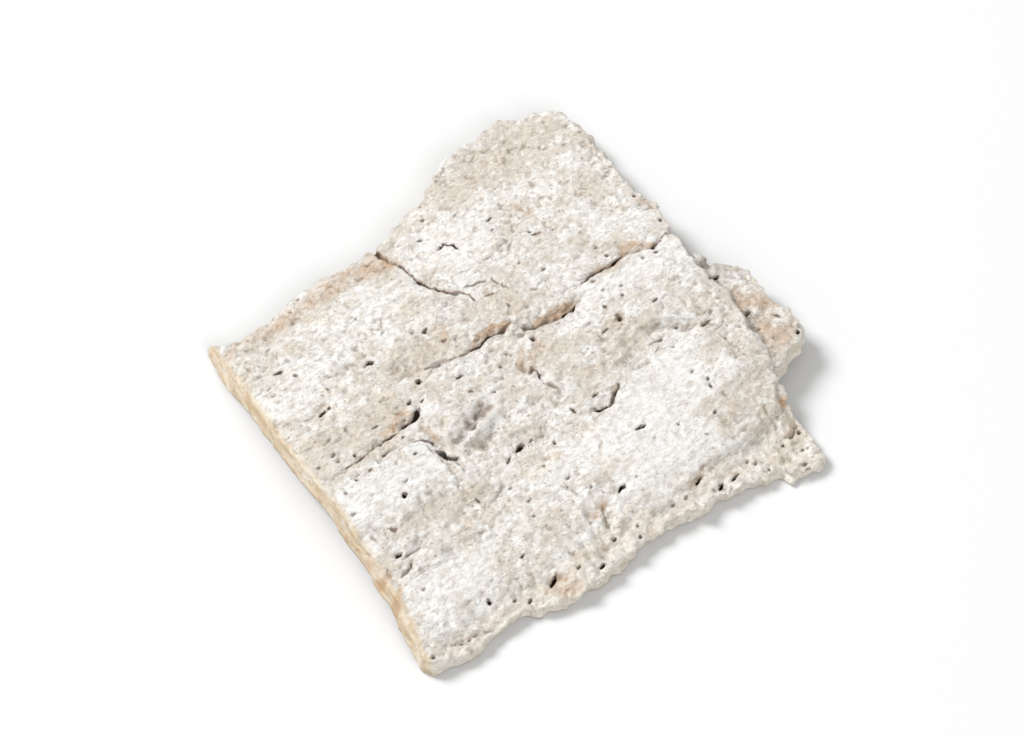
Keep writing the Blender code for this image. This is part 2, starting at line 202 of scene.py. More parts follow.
# Pits: x, y, half length along the grain, half width, depth
PITS = [
    (-18.4, 17.5, 0.6, 0.5, 1.4), (-19.3, 17.3, 0.5, 0.3, 0.7), (-31.4, 25.4, 1.4, 0.4, 1.1),
    (-29.2, 23.4, 0.5, 0.5, 0.7), (-29.2, 31.4, 0.9, 0.3, 0.7), (-12.9, 21.2, 0.5, 0.25, 0.6),
    (-14.5, 27.1, 0.35, 0.3, 0.6), (-30.7, 13.7, 1.0, 0.5, 1.2), (-29.2, 14.0, 0.4, 0.3, 0.8),
    (-6.8, 17.2, 0.8, 0.42, 1.1), (-5.6, 14.0, 0.6, 0.3, 0.6), (-14.0, 9.2, 0.7, 0.6, 1.6),
    (-17.7, 6.7, 0.5, 0.35, 1.0), (-16.1, 5.4, 0.6, 0.32, 1.0), (-8.4, 5.7, 0.8, 0.3, 0.9),
    (-1.8, 3.3, 0.5, 0.35, 0.8), (-5.6, 0.1, 0.45, 0.36, 0.8), (0.5, 5.0, 0.4, 0.35, 0.8),
    (5.9, 4.6, 0.6, 0.45, 1.3), (19.5, 2.2, 0.4, 0.4, 0.9), (23.3, 2.7, 0.35, 0.3, 0.7),
    (24.4, 4.4, 0.4, 0.3, 0.6), (21.5, 5.7, 0.5, 0.3, 0.6), (33.4, 6.6, 0.45, 0.4, 0.9),
    (31.0, 6.9, 0.35, 0.3, 0.7), (20.1, -0.4, 0.6, 0.7, 1.3), (7.5, 38.0, 0.5, 0.45, 0.8),
    (4.2, 34.3, 0.55, 0.35, 0.8), (16.2, 30.6, 0.75, 0.32, 0.9), (14.9, 28.1, 0.45, 0.3, 0.6),
    (19.8, 24.0, 0.45, 0.4, 0.9), (16.6, 15.6, 0.6, 0.28, 0.7), (26.7, 14.2, 0.4, 0.35, 0.8),
    (26.8, 11.3, 0.4, 0.45, 0.9), (7.4, 12.6, 0.4, 0.5, 0.9), (26.4, 18.4, 0.4, 0.3, 0.6),
    (33.0, 38.4, 0.5, 0.35, 0.7), (36.8, 36.3, 0.5, 0.35, 0.7), (12.0, 35.0, 0.35, 0.3, 0.6),
    (-27.0, 0.6, 1.1, 0.3, 0.9), (-29.1, -0.2, 0.5, 0.32, 0.8), (-31.0, -0.7, 0.4, 0.3, 0.7),
    (-33.4, -0.7, 0.4, 0.4, 0.9), (-36.6, -1.6, 0.4, 0.4, 0.7), (-37.0, 5.3, 0.5, 0.35, 0.7),
    (-34.0, 5.6, 0.5, 0.35, 0.7), (-33.9, 4.1, 0.5, 0.3, 0.7), (-31.0, 3.5, 0.4, 0.3, 0.8),
    (-25.0, 6.0, 1.0, 0.28, 0.8), (-25.3, 3.2, 0.5, 0.35, 1.2), (-22.9, 1.7, 0.4, 0.3, 0.8),
    (-29.1, -7.8, 0.6, 0.5, 1.4), (-37.8, -6.0, 0.6, 0.42, 0.7), (-26.6, -2.2, 0.35, 0.4, 0.7),
    (-27.5, -6.0, 0.5, 0.3, 0.6), (-22.9, -2.1, 0.5, 0.3, 0.8), (-33.4, -4.6, 0.4, 0.3, 0.5),
    (-12.0, -3.4, 0.7, 0.4, 0.9), (-8.2, -10.7, 1.1, 0.5, 1.6), (-6.0, -10.5, 0.7, 0.22, 0.7),
    (-11.0, -11.7, 0.8, 0.3, 0.8), (-2.9, -13.1, 0.4, 0.35, 0.8), (-6.5, -15.4, 0.4, 0.35, 0.6),
    (-13.7, -15.2, 0.45, 0.4, 0.7), (-19.3, -14.4, 0.3, 0.7, 0.8), (-12.8, -18.7, 0.5, 0.28, 0.8),
    (-13.7, -21.9, 0.4, 0.35, 0.7), (-5.0, -19.8, 0.7, 0.25, 0.7), (-6.1, -20.8, 0.4, 0.3, 0.6),
    (-2.8, -23.1, 0.4, 0.3, 0.6), (-19.6, -26.7, 0.6, 0.32, 0.9), (-36.0, -22.3, 0.5, 0.3, 0.6),
    (3.3, -10.6, 0.35, 0.9, 1.2), (7.7, -10.3, 0.6, 0.35, 0.9), (10.1, -19.2, 1.3, 0.38, 1.2),
    (0.9, -26.0, 1.1, 0.42, 1.4), (4.1, -25.7, 0.35, 0.25, 0.6), (24.6, -18.5, 0.45, 0.35, 0.9),
    (24.3, -19.8, 0.4, 0.4, 0.9), (23.3, -16.0, 0.5, 0.35, 0.6), (22.1, -24.1, 0.45, 0.3, 0.8),
    (15.5, -22.3, 0.4, 0.4, 0.7), (18.8, -26.6, 0.4, 0.3, 0.6), (10.8, -22.2, 0.4, 0.3, 0.5),
    (27.0, -7.4, 0.6, 0.4, 0.9), (27.2, -1.6, 0.8, 0.35, 0.9), (16.6, -1.3, 0.8, 0.35, 0.7),
    (24.0, -10.6, 0.5, 0.3, 0.8), (21.0, -9.6, 0.9, 0.22, 0.7), (32.0, -14.0, 0.4, 0.35, 0.7),
    (-41.5, -32.5, 0.6, 0.35, 0.9), (-39.2, -34.0, 0.5, 0.3, 0.8), (-28.1, -29.7, 0.5, 0.5, 0.9),
    (-24.6, -31.3, 0.4, 0.36, 0.8), (-22.4, -32.7, 0.5, 0.32, 0.8), (-17.2, -32.5, 1.4, 0.42, 1.1),
    (-9.3, -34.6, 0.8, 0.38, 1.1), (-5.0, -32.1, 0.7, 0.32, 1.0), (-1.0, -34.0, 0.5, 0.5, 1.1),
    (-0.4, -32.0, 0.35, 0.3, 1.0), (-13.0, -33.4, 0.6, 0.35, 0.8), (6.7, -32.4, 0.7, 0.32, 0.8),
    (9.3, -32.7, 0.45, 0.32, 0.8), (13.2, -31.5, 1.1, 0.36, 0.9), (15.8, -33.9, 1.0, 0.36, 1.1),
    (18.6, -34.1, 0.8, 0.34, 1.0), (21.8, -33.1, 0.4, 0.34, 0.7), (22.7, -34.0, 0.4, 0.32, 0.7),
    (24.3, -36.4, 0.35, 0.36, 0.7), (29.1, -33.8, 0.35, 0.5, 0.8), (32.8, -33.0, 0.35, 0.5, 0.8),
    (29.2, -39.8, 1.0, 0.3, 0.8), (29.8, -38.4, 0.6, 0.3, 0.7), (31.2, -36.2, 0.4, 0.35, 0.8),
    (39.2, -11.9, 1.0, 0.4, 1.0), (43.0, -14.6, 0.4, 0.8, 1.0), (43.6, -19.2, 0.8, 0.4, 1.0),
    (38.5, 4.7, 0.35, 0.6, 1.2), (39.4, 13.0, 0.4, 0.5, 0.9), (39.0, 19.6, 0.4, 0.5, 0.8),
]
PIT_SIZE = 0.88  # scales the pits' sizes
PIT_TILT = 12.0  # most pits run a little up to the right, in degrees from the grain
PIT_TILT_SPREAD = 12.0
PORE_DEPTH = 0.5
SLOT_LEAN = 0.35  # how far a slot leans sideways for its depth, and at most
MOST_LEAN = 0.7
SLOT_REACH = 3.0  # a slot is worked out this far round its line
SLOT_TAPER = 4.5  # a slot tapers at each end over its length divided by this
RIGHT_FALL = 0.2  # the slope on a fissure's right, as a share of the one on its left
FLAKE_LEVELS = (-1.5, -0.9, -0.3, 0.3, 0.9, 1.5)
FLAKE_STEP = 0.13
HAIRLINE_DEPTH = 0.4

# Tan and brown stains: strength, half width, centre line
STAINS = [
    (0.9, 0.8, [(-4.2, -14.9), (-3.2, -14.7)]), (0.9, 1.0, [(33.0, -29.0), (34.6, -28.8)]),
    (0.8, 1.8, [(39.0, -8.8), (42.6, -10.4)]), (0.26, 3.0, [(39.6, -13.0), (41.6, -20.0)]),
    (0.6, 1.4, [(41.8, -19.8), (44.6, -18.4)]), (0.6, 0.9, [(-5.8, 14.0), (-4.9, 16.2)]),
    (0.3, 1.4, [(-35.4, 10.4), (-33.4, 10.8)]), (0.5, 1.4, [(21.6, 26.8), (22.2, 30.0)]),
    (0.35, 1.8, [(18.4, 35.6), (19.4, 38.6)]),
    (0.8, 1.1, [(-41.4, -3.0), (-42.0, -12.0), (-43.2, -22.0)]),
    (0.8, 0.8, [(-41.0, -16.8), (-39.0, -17.0)]), (0.9, 0.6, [(-42.0, -21.2), (-38.8, -20.8)]),
    (0.7, 1.0, [(-4.4, -27.8), (-2.8, -26.8)]), (0.5, 1.2, [(19.0, -0.6), (20.4, 0.2)]),
    (0.9, 1.0, [(9.0, 7.0), (12.6, 6.9), (15.8, 6.5)]),
    (0.9, 1.0, [(-2.4, 10.1), (1.0, 10.4), (4.4, 10.4)]),
    (0.8, 0.8, [(24.0, 9.8), (28.4, 10.1), (34.0, 9.2)]), (0.8, 0.9, [(-25.0, 3.8), (-19.6, 5.0)]),
    (0.6, 1.0, [(1.0, 1.4), (3.4, 3.6)]), (0.5, 0.9, [(4.8, 1.2), (6.2, 3.4)]),
    (0.6, 0.8, [(-18.7, 1.2), (-18.4, -2.6)]), (0.3, 1.6, [(24.2, 17.2), (25.8, 16.8)]),
    (0.9, 0.9, [(-3.4, 39.0), (-3.3, 33.4)]), (0.5, 1.5, [(-8.0, 34.6), (-3.6, 32.6)]),
    (0.6, 1.8, [(-38.6, 34.0), (-31.0, 35.4), (-22.0, 35.4), (-6.0, 36.6)]),
    (0.34, 1.7, [(-38.6, 31.0), (-38.6, 20.0), (-39.3, 4.0), (-40.4, -12.0), (-41.8, -27.0)]),
    (0.2, 2.4, [(-15.0, 12.6), (-9.6, 14.4)]), (0.4, 1.6, [(-18.4, -34.6), (-15.4, -35.0)]),
    (0.34, 2.2, [(-40.0, -32.8), (0.0, -32.8), (23.0, -33.4)]),
    (0.3, 1.6, [(21.8, -26.4), (24.8, -24.8)]), (0.35, 1.4, [(-20.6, -12.6), (-18.4, -15.6)]),
    (0.4, 1.2, [(31.4, -33.0), (33.4, -31.6)]), (0.35, 1.2, [(39.0, 11.0), (39.8, 26.0)]),
    (0.35, 1.6, [(38.6, -18.0), (40.6, -15.0)]), (0.4, 1.0, [(-17.8, -32.0), (-15.6, -32.0)]),
    (0.35, 1.0, [(12.6, -31.0), (14.4, -30.8)]),
]

# Where the crust is whiter (above 0) or duller (below 0): strength, half width, centre line
TONES = [
    (1.2, 6.0, [(7.0, -20.0), (22.0, -15.0)]), (0.7, 3.4, [(5.0, -27.0), (18.0, -26.4)]),
    (1.2, 3.6, [(-36.0, -4.6), (-23.0, -4.8)]), (0.5, 5.5, [(-33.0, 22.0), (-10.0, 27.0)]),
    (0.6, 4.5, [(5.6, 25.0), (8.0, 33.0)]), (0.7, 3.6, [(30.0, 16.4), (36.0, 15.0)]),
    (0.8, 4.5, [(-36.0, -24.6), (-26.0, -24.0)]), (0.6, 2.0, [(18.0, 12.6), (24.0, 12.8)]),
    (0.5, 1.6, [(-14.0, -4.8), (-9.0, -4.4)]), (1.0, 2.4, [(18.0, 6.0), (36.0, 5.0)]),
    (0.6, 2.4, [(-6.0, -17.6), (6.0, -17.0)]), (-0.6, 4.0, [(24.0, -24.0), (31.0, -27.0)]),
    (-0.8, 2.8, [(-37.0, 6.4), (-22.0, 7.4)]), (-0.9, 2.0, [(-28.0, -12.0), (-17.0, -13.4)]),
    (-0.7, 2.2, [(7.0, -6.4), (22.0, -5.6)]),
    # painted light: the lower rim, which slopes away from the key light, is made whiter
    (1.0, 2.2, [(-42.0, -33.0), (0.0, -33.0), (24.0, -33.4)]),
    # the second entry on the next line is a painted shadow along the upper edge at right, as a
    # neighbouring plate would cast
    (-0.7, 2.6, [(3.0, 15.6), (8.4, 13.0)]), (-1.1, 3.2, [(14.0, 40.8), (36.0, 42.0)]),
    (-0.7, 2.6, [(26.4, 12.0), (31.0, 14.6)]), (1.1, 1.2, [(24.8, -5.2), (29.4, -8.2)]),
    (-0.5, 2.0, [(-36.0, 34.0), (-6.0, 35.0)]), (-1.4, 2.6, [(-14.0, 13.0), (-10.0, 14.0)]),
    (-0.6, 2.4, [(30.0, -12.0), (34.0, -18.0)]), (-0.2, 3.0, [(40.0, -6.0), (41.0, -18.0)]),
    (-0.5, 2.0, [(1.0, 1.6), (8.0, 1.4)]),
]
SMOOTH_TONE = 0.5  # the crust is smooth where it is whiter than this

# The bark's flat map, for keeping its looks as a picture: the outer side, the inner side at a
# smaller scale beside it, and the edge in strips above them
MAP_SIDE = 142.0  # millimetres of bark along the whole map
MAP_GAP = 1.5
OUTER_SPAN = 92.0  # the outer side's share of the map's side, with its gaps
INNER_SCALE = 0.5
STRIPS = 4
STRIP_HEIGHT = 11.0
WALL_DEPTH = 1.3  # steep faces this near the outline belong to the edge
WALL_SLOPE = 0.55

GRAIN_HEIGHT = 0.00085  # the material's bumps, in metres
FINE_HEIGHT = 0.00006

# ---- the picture
CAMERA_AZIMUTH = -36.7  # degrees round +Z from -Y, so that the grain runs up to the right
CAMERA_ELEVATION = 55.0
CAMERA_DISTANCE = 0.57
CAMERA_LENS = 120.0
FLOOR_SIZE = 8.0
FLOOR_FADE = (160.0, 600.0)  # distances in mm between which the floor turns white
FLOOR_GREY = (0.61, 0.61, 0.61, 1.0)
WHITE = (1.0, 1.0, 1.0, 1.0)
BLACK = (0.0, 0.0, 0.0, 1.0)
SKY_LIGHT = 0.5  # the light that the surroundings give, where the camera sees them at 1
# Lights: name, azimuth from the camera's, elevation, distance and size in m, watts
LIGHTS = [("key_light", -115.0, 46.0, 2.2, 0.9, 59.0), ("fill_light", 25.0, 34.0, 3.0, 2.4, 58.0)]


# ---- numbers on the grid
def ease(t):
    """Goes smoothly from 0 at t = 0 to 1 at t = 1."""
    t = np.clip(t, 0.0, 1.0)
    return t * t * (3.0 - 2.0 * t)


def smooth_max(a, b, radius):
    """The larger of two fields, with the corner between them rounded."""
    blend = np.maximum(radius - np.abs(a - b), 0.0)
    return np.maximum(a, b) + blend * blend / (4.0 * radius)


def lattice_weights(count, cell):
    """Cubic B-spline weights that read a lattice of this cell size at the grid's points."""
    t = np.arange(count) * STEP / cell
    i = np.floor(t).astype(int)
    f = (t - i).astype(np.float32)
    weights = np.zeros((count, i[-1] + 4), np.float32)
    rows = np.arange(count)
    weights[rows, i] = (1 - f) ** 3 / 6
    weights[rows, i + 1] = (3 * f**3 - 6 * f**2 + 4) / 6
    weights[rows, i + 2] = (-3 * f**3 + 3 * f**2 + 3 * f + 1) / 6
    weights[rows, i + 3] = f**3 / 6
    return weights


def noise(shape, cells, seed):
    """Smooth random values of unit spread on a grid of this shape, with a cell size per axis."""
    weights = [lattice_weights(count, cell) for count, cell in zip(shape, cells)]
    lattice_shape = [w.shape[1] for w in weights]
    values = np.random.default_rng(seed).standard_normal(lattice_shape).astype(np.float32)
    for axis, w in enumerate(weights):
        values = np.moveaxis(np.tensordot(w, values, axes=(1, axis)), 0, axis)
    return values / values.std()


def path_distance(x, y, path, closed=False):
    """Distance to a path of straight runs, its side (1 on its left), how far along (0 to 1)."""
    ends = path + path[:1] if closed else path
    runs = [math.dist(a, b) for a, b in zip(ends[:-1], ends[1:])]
    best = np.full(x.shape, np.inf)
    side = np.zeros(x.shape)
    along = np.zeros(x.shape)
    passed = 0.0
    for (ax, ay), (bx, by), run in zip(ends[:-1], ends[1:], runs):
        dx, dy = bx - ax, by - ay
        t = np.clip(((x - ax) * dx + (y - ay) * dy) / run**2, 0.0, 1.0)
        off_x, off_y = x - ax - t * dx, y - ay - t * dy
        d = np.hypot(off_x, off_y)
        nearer = d < best
        side = np.where(nearer, np.where(dx * off_y > dy * off_x, 1.0, -1.0), side)
        along = np.where(nearer, (passed + t * run) / sum(runs), along)
        best = np.minimum(best, d)
        passed += run
    return best, side, along


def inside_outline(x, y, outline):
    """True for points inside a closed outline."""
    inside = np.zeros(x.shape, bool)
    for (ax, ay), (bx, by) in zip(outline, outline[1:] + outline[:1]):
        if ay != by:
            crosses = (ay > y) != (by > y)
            inside ^= crosses & (x < ax + (y - ay) * (bx - ax) / (by - ay))
    return inside


def signed_depth(x, y, outline):
    """Distance to a closed outline, positive inside it."""
    distance, _, _ = path_distance(x, y, outline, closed=True)
    return np.where(inside_outline(x, y, outline), distance, -distance)


class Maps:
    """The bark's maps over X and Y, each on the grid's points."""

    def __init__(self):
        xs, ys = zip(*OUTLINE)
        self.x0, self.y0 = min(xs) - MARGIN, min(ys) - MARGIN
        nx = int((max(xs) + MARGIN - self.x0) / STEP) + 1
        ny = int((max(ys) + MARGIN - self.y0) / STEP) + 1
        nz = int((HEIGHT_RANGE[1] - HEIGHT_RANGE[0]) / STEP) + 1
        self.flat, self.solid = (nx, ny), (nx, ny, nz)
        self.x, self.y = np.meshgrid(
            self.x0 + STEP * np.arange(nx), self.y0 + STEP * np.arange(ny), indexing="ij")
        self.z = (HEIGHT_RANGE[0] + STEP * np.arange(nz)).astype(np.float32)
        self.ragged_x, self.ragged_y = self.warped(0.16, 0.1, 45)

    def noise(self, cell, seed, stretch=1.0):
        """Noise over X and Y with this cell size in mm, stretched along the grain."""
        return noise(self.flat, (cell * stretch, cell), seed)

    def warped(self, coarse, fine, seed):
        """X and Y shifted a little at random, which makes straight outlines ragged."""
        x = self.x + coarse * self.noise(2.8, seed) + fine * self.noise(0.9, seed + 1)
        y = self.y + coarse * self.noise(2.8, seed + 2) + fine * self.noise(0.9, seed + 3)
        return x, y

    def blurred(self, values, radius):
        """A map smoothed over this radius."""
        u, v = (np.fft.fftfreq(count, STEP) for count in self.flat)
        kept = np.exp(-2.0 * (math.pi * radius) ** 2 * (u[:, None] ** 2 + v**2))
        return np.fft.ifft2(np.fft.fft2(values) * kept).real

    def strokes(self, strokes, seed):
        """The sum of soft ragged strokes."""
        x, y = self.warped(0.5, 0.2, seed)
        total = np.zeros(self.flat)
        for strength, width, path in strokes:
            total += strength * np.exp(-((path_distance(x, y, path)[0] / width) ** 2))
        return total

    def square(self, x, y, reach):
        """The slices of the grid within this reach of a point."""
        i0, i1 = (int((x - self.x0 + side * reach) / STEP) for side in (-1, 1))
        j0, j1 = (int((y - self.y0 + side * reach) / STEP) for side in (-1, 1))
        return slice(max(i0, 0), i1 + 1), slice(max(j0, 0), j1 + 1)

    def at(self, values, points):
        """A map's values at points, each read from the nearest grid point."""
        steps = np.rint((points[:, :2] - (self.x0, self.y0)) / STEP).astype(int)
        i, j = np.clip(steps, 0, np.array(self.flat) - 1).T
        return values[i, j]


# ---- the bark's two sides
def arch(x, y):
    """The arch that the whole plate follows, zero where the inner side meets the resting plane."""
    span = np.where(y < ARCH_CROWN_Y, ARCH_LOWER_SPAN, ARCH_UPPER_SPAN + ARCH_FLARE * x)
    return ARCH_RISE * (1.0 - ((y - ARCH_CROWN_Y) / span) ** 2)


def inner_side(m):
    """Height of the inner side: fibres along the grain, worn flat where the bark rests."""
    height = arch(m.x, m.y) + 0.14 * m.noise(9.0, 11, 1.5)
    height += 0.11 * m.noise(1.6, 12, 7.0) + 0.07 * m.noise(0.7, 13, 6.0)
    height += 0.05 * m.noise(1.1, 14)
    return np.where(height < FOOT_SNAP, 0.0, height)


def plate_amount(m, plate):
    """1 on a plate and 0 off it, with the plate's step along its ragged outline."""
    _, step, _, outline = plate
    x, y = m.warped(0.4, 0.22, 100 + 10 * PLATES.index(plate))
    return ease(signed_depth(x, y, outline) / step + 0.5)


def plate_steps(m):
    """The steps between the outer plates, along ragged lines."""
    relief = np.zeros(m.flat)
    for plate in PLATES:
        rise, _, (fade_low, fade_high), _ = plate
        fade = ease((m.y - fade_low) / (fade_high - fade_low))
        relief += rise * fade * plate_amount(m, plate)
    return relief


def edge_of(values, level, width):
    """0 below a level of a map and 1 above it, with a rise of the same width all along the line."""
    slope = np.hypot(*np.gradient(values, STEP))
    return ease((values - level) / (slope * width + 0.05) + 0.5)


def flakes(m):
    """Thin scales left where outer layers peeled off, as small crisp ragged steps."""
    depth = m.noise(7.0, 21, 1.9) + 0.4 * m.noise(2.0, 22, 1.8) + 0.13 * m.noise(0.8, 23)
    relief = np.zeros(m.flat)
    for level in FLAKE_LEVELS:
        relief += FLAKE_STEP * (edge_of(depth, level, 0.5) - 0.5)
    return relief


def hairlines(m):
    """Broken hairline cracks: one set along the grain, one in all directions."""
    relief = np.zeros(m.flat)
    for seed, cell, stretch in ((71, 2.4, 3.2), (81, 3.4, 1.0)):
        lines = m.noise(cell, seed, stretch) + 0.25 * m.noise(0.9, seed + 1)
        slope = np.hypot(*np.gradient(lines, STEP))
        near = np.exp(-((lines / (0.2 * slope + 0.02)) ** 2))
        open_here = ease(m.noise(1.8, seed + 2, 1.6) / 0.7 - 0.7)
        relief = np.minimum(relief, -HAIRLINE_DEPTH * near * open_here)
    return relief


def fissure_distance(m, number):
    """Distance to a fissure's ragged line, the side of it, and how far along."""
    x, y = m.warped(0.25, 0.18, 300 + 10 * number)
    return path_distance(x, y, FISSURES[number][-1])


def fissure_slopes(m):
    """The slope that falls to each fissure on its left, and the slighter one on its right."""
    relief = np.zeros(m.flat)
    for number, (_, _, fall, width, _) in enumerate(FISSURES):
        distance, side, _ = fissure_distance(m, number)
        slope = fall * np.exp(-((distance / width) ** 2))
        relief = np.minimum(relief, np.where(side > 0, -slope, -RIGHT_FALL * slope))
    return relief


def crumbled(m, rim):
    """How crumbly the surface is: least on the smooth white plates, most on the rim."""
    white = [tone for tone in TONES if tone[0] > SMOOTH_TONE]
    smooth = ease((m.strokes(white, 91) - 0.1) / 0.7)
    return 1.0 - 0.7 * smooth + 0.6 * rim


def pore_depth(m, rim, coarse):
    """Small ragged pores, pulled out along the grain: how deep each point lies in one."""
    spots = m.noise(0.65, 51, 1.5) + 0.3 * m.noise(0.5, 52)
    clumps = m.noise(5.0, 53) + 0.9 * (coarse - 1.0) + 0.3 * rim
    return PORE_DEPTH * ease((spots - 2.9 + 0.4 * clumps) / 0.8)


def outer_side(m, edge, rim):
    """Height of the outer side without slots and pits: the smooth base, the real one, the pores."""
    thickness = THICKNESS - RIM_THINNING * ease((RIM_TOP_Y - m.y) / RIM_SPAN)
    worn = EDGE_WEAR * (1.0 - ease(edge / WEAR_WIDTH))
    base = np.maximum(arch(m.x, m.y), 0.0) + thickness - worn
    base += 0.26 * m.noise(11.0, 31, 1.4) + plate_steps(m) + m.strokes(FOLDS, 33)
    coarse = crumbled(m, rim)
    middle = 0.11 * m.noise(4.2, 32, 1.7) + 0.07 * m.noise(2.0, 38, 1.8)
    middle *= 0.4 + 0.6 * np.minimum(coarse, 1.0)
    ridges = 0.08 * (0.8 - np.abs(m.noise(1.3, 34, 5.0)))
    grains = 0.08 * m.noise(0.9, 35, 1.5) + 0.11 * m.noise(0.5, 36, 1.1)
    rough = 0.05 * m.noise(1.5, 37) + 0.09 * m.noise(0.55, 39)
    fine = flakes(m) + hairlines(m) + ridges + grains
    height = base + fissure_slopes(m) + middle + coarse * fine
    pores = pore_depth(m, rim, coarse)
    return base, height + rim * rough - pores, pores


# ---- the solid
def at_end(x, fade):
    """1 in the snapped end's zone, fading to 0 over this distance beyond it."""
    return 1.0 - ease((x - END_ZONE_X) / fade)


def end_lean(x, z):
    """How far the snapped end's wall has leant inwards at this height, zero away from that end."""
    low, high = LEAN_HEIGHTS
    return END_SLOPE * at_end(x, LEAN_FADE) * np.clip((z - low) / (high - low), 0.0, 1.0)


def broken_edge(m, edge):
    """The broken edge: crisp and almost straight where the end snapped, crumbled elsewhere."""
    layers = 0.14 * noise(m.solid, (3.0, 3.0, 0.5), 41)
    layers += 0.12 * noise(m.solid, (1.1, 1.1, 0.55), 42)
    lumps = 0.22 * noise(m.solid, (3.6, 3.6, 2.2), 43) + 0.15 * noise(m.solid, (0.8, 0.8, 0.8), 44)
    lumps += 0.08 * noise(m.solid, (0.45, 0.45, 0.45), 46)
    crisp = 1.0 - 0.7 * at_end(m.x, END_FADE)
    return -edge[:, :, None] + crisp[:, :, None] * (layers + lumps) + end_lean(m.x[:, :, None], m.z)


def cut_slots(m, field, height, hole_brown_and_shade):
    """Cuts each fissure's slot, a wedge that leans under its right side and tapers at its ends."""
    for number, (depth, half, _, _, _) in enumerate(FISSURES):
        distance, side, along = fissure_distance(m, number)
        xs, ys = np.nonzero(distance < SLOT_REACH)
        box = (slice(xs.min(), xs.max() + 1), slice(ys.min(), ys.max() + 1))
        distance, side, along = distance[box], side[box], along[box]
        taper = ease(SLOT_TAPER * along) * ease(SLOT_TAPER * (1.0 - along))
        uneven = 1.0 + 0.3 * m.noise(1.8, 400 + number)[box]
        wide = half * (0.45 + 0.55 * taper) * uneven
        deep = depth * np.sqrt(taper) * uneven + 0.05
        below = height[box][:, :, None] - m.z
        across = (side * distance)[:, :, None] + np.clip(SLOT_LEAN * below, 0.0, MOST_LEAN)
        narrowing = 1.0 - 0.6 * below / deep[:, :, None]
        sides = np.abs(across) - wide[:, :, None] * narrowing
        slot = np.maximum(sides, (below - deep[:, :, None]) * 0.5)
        field[box] = smooth_max(field[box], -slot, SLOT_ROUNDING)
        # How dark a slot is painted, more for deeper slots: brown and painted shade
        slot_brown_and_shade = np.clip(depth - 0.6, 0.0, 1.0) * np.sqrt(taper)
        hole_brown_and_shade[box] = np.maximum(hole_brown_and_shade[box], slot_brown_and_shade * ease(1.35 - distance / (wide + 0.08)))


def cut_pit(m, field, height, hole_brown_and_shade, x, y, long, wide, depth, tilt):
    """Cuts one ragged pit, a little wider below its mouth."""
    box = m.square(x, y, long + 5 * STEP)
    top = m.at(height, np.array([[x, y]]))[0]
    c, s = math.cos(math.radians(tilt)), math.sin(math.radians(tilt))
    dx, dy = m.ragged_x[box] - x, m.ragged_y[box] - y
    spread = np.hypot((c * dx + s * dy) / long, (c * dy - s * dx) / wide)
    dz = (m.z - (top - 0.3 * depth)) / (0.8 * depth)
    pit = (np.sqrt((spread * spread)[:, :, None] + dz * dz) - 1.0) * wide
    field[box] = smooth_max(field[box], -pit, PIT_ROUNDING)
    # Deeper pits are painted darker: brown and painted shade
    hole_brown_and_shade[box] = np.maximum(hole_brown_and_shade[box], np.clip(1.25 * depth - 0.2, 0.0, 1.0) * ease(1.4 - spread))


def bark_field(m):
    """The bark as a solid on the grid, and the maps that its material reads."""
    x, y = m.warped(0.3, 0.14, 61)
    straight = 0.6 * at_end(m.x, END_FADE)
    edge = signed_depth(x + straight * (m.x - x), y + straight * (m.y - y), OUTLINE)
    rim = plate_amount(m, RIM_BREAK)
    base, height, pores = outer_side(m, edge, rim)
    bottom = inner_side(m)
    height = np.maximum(height, bottom + THINNEST)
    crumble = (0.08 * rim)[:, :, None] * noise(m.solid, (0.9, 0.9, 0.9), 62)
    top_side = m.z - height[:, :, None].astype(np.float32) + crumble
    field = smooth_max(broken_edge(m, edge), top_side, TOP_ROUNDING)
    field = smooth_max(field, bottom[:, :, None] - m.z, FOOT_ROUNDING).astype(np.float32)
    # Pores, pits and slots are painted brown and, where deep, near black: partly the bark's own
    # brown, partly painted shade
    hole_brown_and_shade = 0.6 * ease(pores / PORE_DEPTH)
    cut_slots(m, field, height, hole_brown_and_shade)
    rng = np.random.default_rng(55)
    for x, y, *sizes in PITS:
        tilt = PIT_TILT + rng.uniform(-PIT_TILT_SPREAD, PIT_TILT_SPREAD)
        cut_pit(m, field, height, hole_brown_and_shade, x, y, *(PIT_SIZE * size for size in sizes), tilt)
    field = np.maximum(field, -m.z + 1e-4)
    # fine_hollow and broad_hollow: how far a point lies below its surroundings, less on the rim;
    # the material paints the broad hollows grey as painted shade, the fine ones darker as grime and
    # painted shade
    near, wide = m.blurred(height, 0.8), m.blurred(height, 3.2)
    maps = {"base": base, "bottom": bottom, "edge": edge, "hole_brown_and_shade": hole_brown_and_shade,
            "fine_hollow": (near - height) * (1.0 - 0.5 * rim),
            "broad_hollow": (wide - near) * (1.0 - 0.6 * rim),
            "rim": rim, "stain": m.strokes(STAINS, 63), "tone": m.strokes(TONES, 64)}
    return field, maps


# ---- from the grid to a mesh
def fill_pinches(field):
    """Fills points where the solid would meet itself only along an edge, which no mesh can show."""
    filled = True
    while filled:
        filled = False
        for u, v in ((0, 1), (0, 2), (1, 2)):
            low, high = slice(0, -1), slice(1, None)
            corners = []
            for a, b in product((low, high), repeat=2):
                part = [slice(None)] * 3
                part[u], part[v] = a, b
                corners.append(field[tuple(part)])
            s00, s01, s10, s11 = (corner < 0 for corner in corners)
            for pinched, corner in ((s00 & s11 & ~s01 & ~s10, corners[1]),
                                    (s01 & s10 & ~s00 & ~s11, corners[0])):
                if pinched.any():
                    corner[pinched] = -0.01
                    filled = True


